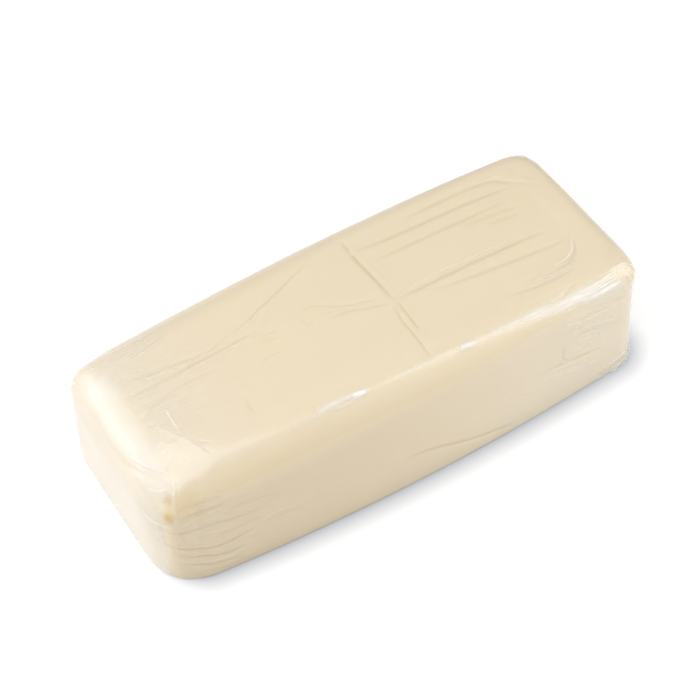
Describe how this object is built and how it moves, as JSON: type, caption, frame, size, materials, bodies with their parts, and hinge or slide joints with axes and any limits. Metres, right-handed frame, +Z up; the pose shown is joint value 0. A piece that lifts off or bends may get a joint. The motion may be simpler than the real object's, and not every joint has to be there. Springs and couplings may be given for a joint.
{
  "type": "mozzarella block",
  "caption": "Long loaf of low-moisture mozzarella in clear shrink film, with rounded edges and a ribbed sunk panel on part of its flat top, to be sliced or shredded.",
  "frame": {"origin": "middle of the flat base, on the surface the loaf stands on", "axes": "+X along the loaf towards the end with the sunk panel, +Y towards its back, +Z up"},
  "size_m": [0.2766, 0.1226, 0.069],
  "materials": {
    "film_on_cheese": "cream cheese under clear glossy shrink film"
  },
  "bodies": {
    "root": {"mozzarella_pack": "film_on_cheese"}
  },
  "joints": []
}
